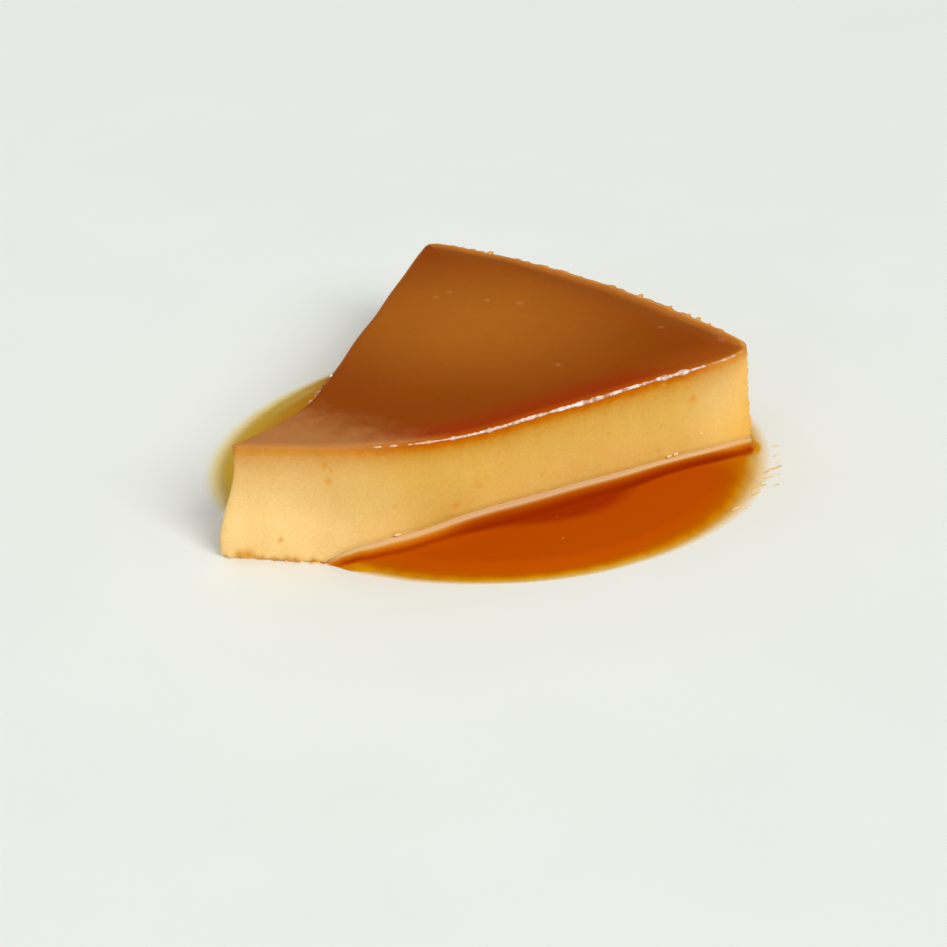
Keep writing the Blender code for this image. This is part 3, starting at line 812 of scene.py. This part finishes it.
def syrup_pool():
    """Rows of points from the slice's foot out to the shore, along bearings about the pool's centre.

    The surface is the shore's thickness plus the pool's depth times a swell, a parabola over the shore's
    width, or behind the slice a smooth step over a wider one. At the foot it climbs by
    exp(-distance / reach), and its thin lip by exp(-(distance / reach)^2) more, up to the lip's height.
    The underside is flat.
    """
    from_centre = wet_foot - POOL_CENTRE
    foot_bearing = np.unwrap(np.arctan2(from_centre[:, 1], from_centre[:, 0]))
    foot_radius = np.linalg.norm(from_centre, axis=1)
    turning = (np.gradient(foot_bearing) > LEAST_TURN) & (foot_bearing >= np.maximum.accumulate(foot_bearing))
    wet = turning & (shore_radius(foot_bearing) - foot_radius > END_WIDTH)
    bearing, inner = foot_bearing[wet], foot_radius[wet]
    outer = shore_radius(bearing)
    share = np.linspace(-1.0, 1.0, POOL_ROWS)
    across = 0.5 + 0.5 * np.tanh(ROW_CROWDING * share) / math.tanh(ROW_CROWDING)
    radius = inner[:, None] + (outer - inner)[:, None] * across
    plan = (POOL_CENTRE + radius[..., None] * heading(bearing)[:, None]).reshape(-1, 2)
    around = np.linspace(-math.pi, math.pi, SHORE_SAMPLES)
    from_shore = distance_to_path(plan, POOL_CENTRE + shore_radius(around)[:, None] * heading(around))
    from_foot = distance_to_path(plan, np.vstack([wet_foot, wet_foot[:1]]))
    past_shore, film_width = (np.repeat(film_at(bearing, column), POOL_ROWS) for column in (1, 2))
    turned = np.degrees(np.angle(np.exp(1j * bearing)))
    behind = np.repeat(smooth_step((turned - BEHIND_FROM_DEGREES) / BEHIND_GROWS_OVER), POOL_ROWS)
    inside = np.maximum(from_shore - past_shore, 0.0)
    swell = 1.0 - (1.0 - np.clip(inside / SHORE_WIDTH, 0.0, 1.0)) ** 2
    swell = swell + (smooth_step(inside / FLAT_SHORE_WIDTH) - swell) * behind
    lip, on_front = np.repeat(wet_height[wet], POOL_ROWS), np.repeat(wet_front[wet], POOL_ROWS)
    level = SHORE_THICKNESS + (POOL_LEVEL - SHORE_THICKNESS) * swell
    climb = np.minimum(CLIMB_HEIGHT * swell ** 0.5, np.maximum(lip - level, 0.0))
    off_foot = np.maximum(from_foot - WETTING, 0.0)
    surface = level + climb * np.exp(-off_foot / CLIMB_REACH)
    surface = surface + np.maximum(lip - level - climb, 0.0) * np.exp(-(off_foot / LIP_REACH) ** 2)

    columns, count = len(bearing), len(plan)
    grid = np.arange(count).reshape(columns, POOL_ROWS)
    near_under, far_under = count + np.arange(2 * columns).reshape(2, columns)
    tail = np.concatenate([grid[:, 0], grid[:, -1]])
    points = np.vstack([np.column_stack([plan, surface]), np.insert(plan[tail], 2, 0.0, axis=1)])
    quads = np.stack([grid[:-1, :-1], grid[:-1, 1:], grid[1:, 1:], grid[1:, :-1]], axis=-1).reshape(-1, 4)
    under = np.stack([near_under[:-1], near_under[1:], far_under[1:], far_under[:-1]], axis=-1)
    foot_side = np.stack([grid[:-1, 0], grid[1:, 0], near_under[1:], near_under[:-1]], axis=-1)
    shore_side = np.stack([grid[1:, -1], grid[:-1, -1], far_under[:-1], far_under[1:]], axis=-1)
    first_end = [*grid[0, ::-1].tolist(), int(near_under[0]), int(far_under[0])]
    last_end = [*grid[-1].tolist(), int(far_under[-1]), int(near_under[-1])]
    faces = np.vstack([quads, under, foot_side, shore_side]).tolist() + [first_end, last_end]
    down = below_lip(points[:count] - [0.0, 0.0, JUST_BELOW], lip, on_front, from_foot)
    values = {"from_foot": from_foot, "film": from_shore / film_width, "down": down, "behind": behind}
    kept = {label: np.append(numbers, numbers[tail]) for label, numbers in values.items()}
    kept["film"][count:] = 0.0
    return shaded_mesh("syrup_pool", points, faces, kept)


def amber_syrup():
    """Amber syrup: clear gold in the film at the shore and orange-brown at its full depth. Behind the slice it
    is painted in olive tones, painted shade, and by the foot of the front cut it is painted darker still, a
    painted shadow of the slice. Where it wets that cut as a lip it carries the lip's painted reflection and
    shade."""
    material, tree, place = new_material("amber_syrup", Roughness=0.12, Specular_IOR_Level=0.004)
    film, from_foot = value_of(tree, "film"), value_of(tree, "from_foot")
    wander = math_of(tree, "ADD", film, speckle(place, 0.003, -0.05, 0.05))
    amber = ramp(
        wander, (0.25, 252, 198, 20), (0.39, 248, 190, 10), (0.52, 239, 180, 0), (0.7, 225, 162, 0),
        (0.83, 211, 139, 0), (0.92, 201, 125, 0), (1.0, 192, 111, 0), (1.12, 185, 97, 0), (1.25, 181, 87, 0),
        (1.5, 183, 80, 0), (2.2, 191, 78, 0))
    # Painted shade: behind the slice the film is painted in olive tones, the amber as it shows in the slice's
    # shade.
    olive_in_shade = ramp(
        wander, (0.2, 255, 232, 100), (0.4, 255, 216, 84), (0.5, 248, 205, 66), (0.6, 236, 195, 66),
        (0.7, 227, 186, 58), (0.8, 220, 180, 56), (1.0, 214, 168, 50), (1.5, 208, 158, 42),
        (2.2, 202, 138, 24))
    along, across, _ = add_node(tree, "SeparateXYZ", Vector=place)
    by_corner = product(fade(along, 0.02, 0.032), fade(film, 0.7, 1.4))
    amber = blend(product(by_corner, 0.7), amber, (208, 119, 0))
    amber = blend(value_of(tree, "behind"), amber, olive_in_shade)
    by_foot = fade(from_foot, 0.0035, 0.0008)
    amber = blend(product(by_foot, fade(film, 1.2, 0.6)), amber, (200, 118, 6))
    # Painted shadow: the syrup is painted darker in a lobe out from the front cut's foot, standing for the
    # slice's shadow on it.
    off_shadow_lobe = product(math_of(tree, "ADD", along, -SHADOW_LOBE_X), 1 / SHADOW_LOBE_HALF_WIDTH)
    bell = math_of(tree, "POWER", math.exp(-0.5), product(off_shadow_lobe, off_shadow_lobe))
    reach = product(bell, math_of(tree, "LESS_THAN", across, 0.0))
    past = math_of(tree, "SUBTRACT", from_foot, product(reach, SHADOW_LOBE_REACH))
    amber = under_lip(tree, blend(fade(past, 0.001, -0.0036), amber, (162, 49, 0)), along)
    alpha = math_of(tree, "MINIMUM", math_of(tree, "ADD", film, by_foot), 1.0)
    tree.links.new(alpha, tree.nodes["Principled BSDF"].inputs["Alpha"])
    return finished(material, amber)


pool = syrup_pool()
pool.data.materials.append(amber_syrup())
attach(pool, "root")
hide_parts("syrup")

# Crumbs: specks of custard torn off by the knife, along the pan's edge of the top, at the tip's foot, on the
# lip of the syrup, and a few that float on it.
PAN_EDGE_CRUMBS = (
    (0.057, 0.0348, 0.0012), (0.0562, 0.012, 0.0007), (0.0525, -0.0108, 0.0014), (0.0507, -0.0202, 0.001),
    (0.049, -0.0262, 0.0009), (0.0479, -0.0293, 0.0013), (0.0468, -0.033, 0.0009), (0.0441, -0.0381, 0.0013),
    (0.0424, -0.042, 0.001),
)
FOOT_CRUMBS = (
    (-0.0597, 0.0058, 0.0008), (-0.058, 0.003, 0.001), (-0.0574, 0.0006, 0.0009), (-0.0561, -0.0022, 0.0007),
)
LIP_CRUMBS = (
    (-0.0469, -0.0141, 0.0064, 0.001), (0.0172, -0.0407, 0.0055, 0.0008), (0.019, -0.0414, 0.0054, 0.0009),
    (0.0254, -0.0439, 0.0086, 0.0005),
)
FLOATING_SPECKS = (
    (-0.0234, -0.0397, 0.0006), (0.0158, -0.0442, 0.0005), (-0.0161, -0.0331, 0.0005), (-0.011, -0.0308, 0.0004),
)
CRUMB_ROWS, CRUMB_SIDES = 11, 18
CRUMB_POLE_SHARE = 0.97
CRUMB_LUMPS, CRUMB_LUMP_SIZE = 0.3, 0.0008
CRUMB_HEADING = -22.0


def crumbs(name, places, sizes, height_share, stretch=1.0, headings=0.0, seed=20):
    """Lumpy ellipsoids, each with a flat foot where it would pass the floor: a ring at each slope angle,
    stretched along its heading in degrees, times 1 + lumps."""
    slope = np.linspace(-CRUMB_POLE_SHARE, CRUMB_POLE_SHARE, CRUMB_ROWS)[None, :, None] * math.pi / 2
    around = np.linspace(0.0, 2 * math.pi, CRUMB_SIDES, endpoint=False)[None, None, :]
    places, halves = np.asarray(places)[:, None, None], np.asarray(sizes)[:, None, None] / 2
    long_way = halves * np.reshape(stretch, (-1, 1, 1)) * np.cos(slope) * np.cos(around)
    short_way = halves * np.cos(slope) * np.sin(around)
    turn = np.radians(np.reshape(headings, (-1, 1, 1)))
    reach = np.stack(np.broadcast_arrays(
        long_way * np.cos(turn) - short_way * np.sin(turn), long_way * np.sin(turn) + short_way * np.cos(turn),
        halves * np.sin(slope) * height_share), axis=-1)
    stacks = places + reach * (
        1.0 + CRUMB_LUMPS * unevenness(places + reach, CRUMB_LUMP_SIZE, seed)[..., None])
    stacks[..., 2] = np.maximum(stacks[..., 2], 0.0)
    return closed_bodies(name, stacks)


def crumb_custard(name, first, second):
    """A crumb's custard, mottled between two tones."""
    material, _, place = new_material(
        name, Roughness=0.4, Specular_IOR_Level=0.2, Subsurface_Weight=0.2, Subsurface_Scale=0.0008)
    return finished(material, blend(speckle(place, 0.0009, 0.0, 1.0, Detail=2.0), first, second))


pan_edge, foot, lips, floating = (np.array(each) for each in (
    PAN_EDGE_CRUMBS, FOOT_CRUMBS, LIP_CRUMBS, FLOATING_SPECKS))
browned = crumb_custard("browned_crumb", (206, 130, 52), (232, 178, 94))
pale = crumb_custard("pale_crumb", (240, 196, 128), (254, 222, 170))
soaked = crumb_custard("soaked_crumb", (190, 96, 30), (214, 132, 66))
for name, places, sizes, height_share, stretch, look in (
    ("pan_edge_crumbs", np.insert(pan_edge[:, :2], 2, SLICE_HEIGHT - TOP_EDGE_FALL, axis=1), pan_edge[:, 2],
     0.8, 1.3, browned),
    ("foot_crumbs", np.insert(foot[:, :2], 2, 0.0001, axis=1), foot[:, 2], 0.6, 1.4, pale),
    ("lip_crumbs", lips[:, :3], lips[:, 3], 0.6, 1.5, pale),
    ("floating_specks", np.insert(floating[:, :2], 2, POOL_LEVEL, axis=1), floating[:, 2], 0.3, 1.6, soaked),
):
    scattered = crumbs(name, places, sizes, height_share, stretch, CRUMB_HEADING)
    scattered.data.materials.append(look)
    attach(scattered, "root")

# Smears: thin streaks of syrup that the slice dragged over the plate beyond the shore. Place, length, width
# and heading in degrees.
SMEARS = np.array((
    (0.0446, -0.0523, 0.0023, 0.0005, -31.0), (0.0402, -0.0547, 0.0021, 0.0005, -10.0),
    (0.0335, -0.0576, 0.0053, 0.0009, -15.0), (0.0292, -0.0588, 0.0036, 0.0007, -23.0),
    (0.0241, -0.0597, 0.0049, 0.001, -12.0), (0.021, -0.0607, 0.0039, 0.0007, -8.0),
    (0.0125, -0.0606, 0.0032, 0.0007, -8.0), (0.0143, -0.0625, 0.0021, 0.0005, -10.0),
    (0.0273, -0.0623, 0.0017, 0.0005, -14.0), (0.0256, -0.0588, 0.0022, 0.0004, -4.0),
    (0.0318, -0.0601, 0.0014, 0.0004, -20.0), (0.0378, -0.0569, 0.0012, 0.0004, -25.0),
))


def thin_syrup():
    """A thin golden streak, paler in places."""
    material, _, place = new_material("thin_syrup", Roughness=0.1, Specular_IOR_Level=0.1)
    return finished(material, blend(speckle(place, 0.0012, 0.0, 1.0), (240, 196, 104), (252, 230, 178)))


smears = crumbs(
    "syrup_smears", np.insert(SMEARS[:, :2], 2, 0.00001, axis=1), SMEARS[:, 3], 0.2,
    SMEARS[:, 2] / SMEARS[:, 3], SMEARS[:, 4], 21)
smears.data.materials.append(thin_syrup())
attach(smears, "root")

# The floor, the lights and the camera: a plain pale floor, a large soft light from the front right, weaker ones
# from the left and from behind, and a long lens at the height and side that the slice was seen from.
FLOOR_REACH = 4.0
LOOK_AZIMUTH, LOOK_ELEVATION = math.radians(-54.0), math.radians(26.0)
LOOK_DISTANCE = 0.6
LOOK_TARGET = Vector((-0.0041, -0.0028, 0.0))
LOOK_ROLL = math.radians(1.43)
LENS_MM = 102.14


def pale_floor():
    """One large square face in a matt, faintly mottled off-white."""
    corners = FLOOR_REACH * np.array([[-1, -1, 0], [1, -1, 0], [1, 1, 0], [-1, 1, 0]])
    floor = shaded_mesh("floor", corners, [[0, 1, 2, 3]], {})
    material, _, place = new_material("pale_floor", Roughness=0.6, Specular_IOR_Level=0.2)
    tone = blend(speckle(place, 0.05, 0.0, 1.0), (0.895, 0.915, 0.855, 1.0), (0.91, 0.93, 0.87, 1.0))
    floor.data.materials.append(finished(material, tone))


def direction(azimuth, elevation):
    """From the target towards a place: azimuth 0 is on the -Y side and turns towards +X, from above."""
    return Vector((
        math.sin(azimuth) * math.cos(elevation),
        -math.cos(azimuth) * math.cos(elevation),
        math.sin(elevation),
    ))


def soft_light(name, azimuth, elevation, distance, size, power):
    """A square area light that faces the slice from a direction round the camera's own."""
    light = bpy.data.lights.new(name, "AREA")
    light.shape = "SQUARE"
    light.size = size
    light.energy = power
    lamp = placed(name, light)
    away = direction(LOOK_AZIMUTH + math.radians(azimuth), math.radians(elevation))
    lamp.location = away * distance
    lamp.rotation_euler = away.to_track_quat("Z", "Y").to_euler()


pale_floor()
soft_light("light_front", 34.0, 38.0, 10.0, 5.2, 775.0)
soft_light("light_left", -40.0, 26.0, 10.0, 7.2, 105.0)
soft_light("light_behind", -145.0, 50.0, 6.0, 7.0, 114.0)
world = bpy.data.worlds.new("studio")
world.use_nodes = True
sky = world.node_tree.nodes["Background"].inputs
sky["Color"].default_value, sky["Strength"].default_value = (0.95, 0.97, 1.0, 1.0), 0.28
bpy.context.scene.world = world
bpy.context.scene.view_settings.view_transform = "Standard"

camera = placed("camera", bpy.data.cameras.new("camera"))
camera.data.lens = LENS_MM
camera.data.clip_start = 0.01
camera.data.clip_end = 20.0
look_back = direction(LOOK_AZIMUTH, LOOK_ELEVATION)
turn = look_back.to_track_quat("Z", "Y").to_matrix().to_4x4() @ Matrix.Rotation(-LOOK_ROLL, 4, "Z")
camera.matrix_world = Matrix.Translation(LOOK_TARGET + look_back * LOOK_DISTANCE) @ turn
bpy.context.scene.camera = camera
